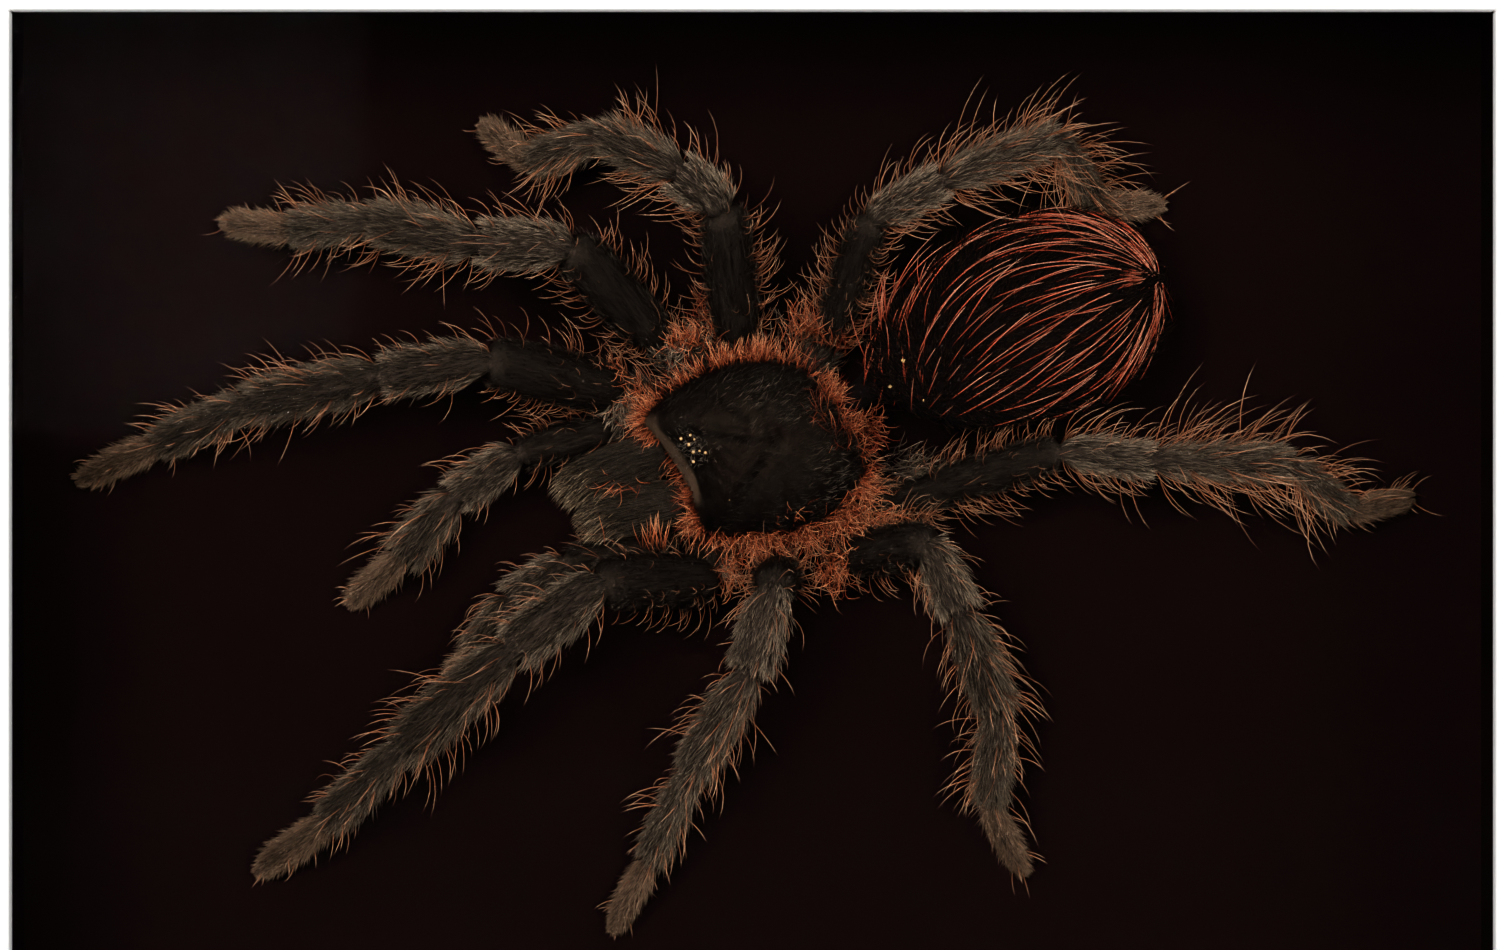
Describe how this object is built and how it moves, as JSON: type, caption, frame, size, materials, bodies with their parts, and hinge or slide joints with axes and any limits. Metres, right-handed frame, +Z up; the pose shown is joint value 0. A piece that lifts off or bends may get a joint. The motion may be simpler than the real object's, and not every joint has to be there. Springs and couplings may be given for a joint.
{
  "type": "framed tarantula specimen",
  "caption": "White shadow box frame with a glass front and a black inside, holding a dried tarantula spread on the mount board.",
  "frame": {"origin": "middle of the frame's underside, where the box stands", "axes": "+X to the viewer's right along the frame's long side, +Y from the glass front to the back, +Z up"},
  "size_m": [0.21, 0.046, 0.1533],
  "materials": {
    "frame_paint": "smooth satin white paint on wood",
    "clear_glass": "clear low-reflection picture glass",
    "black_liner": "matt black card",
    "black_board": "matt black mount board",
    "backing": "bare brown hardboard",
    "steel": "zinc plated sheet steel",
    "black_cuticle": "dull black shell with short hairs and an orange-red fringe",
    "russet_coat": "black velvet skin under long orange-red hairs",
    "leg_coat": "grey-brown short coat with long orange-tan hairs"
  },
  "bodies": {
    "root": {"rail_top": "frame_paint", "rail_bottom": "frame_paint", "rail_left": "frame_paint", "rail_right": "frame_paint", "glass_pane": "clear_glass", "liner_top": "black_liner", "liner_bottom": "black_liner", "liner_left": "black_liner", "liner_right": "black_liner", "mount_board": "black_board", "backing_panel": "backing", "framing_point_1": "steel", "framing_point_2": "steel", "framing_point_3": "steel", "framing_point_4": "steel", "framing_point_5": "steel", "framing_point_6": "steel", "sawtooth_hanger": "steel", "hanger_nail_1": "steel", "hanger_nail_2": "steel", "cephalothorax": "black_cuticle", "abdomen": "russet_coat", "chelicera_right": "leg_coat", "chelicera_left": "leg_coat", "pedipalp_right": "leg_coat", "pedipalp_left": "leg_coat", "leg_right_1": "leg_coat", "leg_right_2": "leg_coat", "leg_right_3": "leg_coat", "leg_right_4": "leg_coat", "leg_left_1": "leg_coat", "leg_left_2": "leg_coat", "leg_left_3": "leg_coat", "leg_left_4": "leg_coat"}
  },
  "joints": []
}
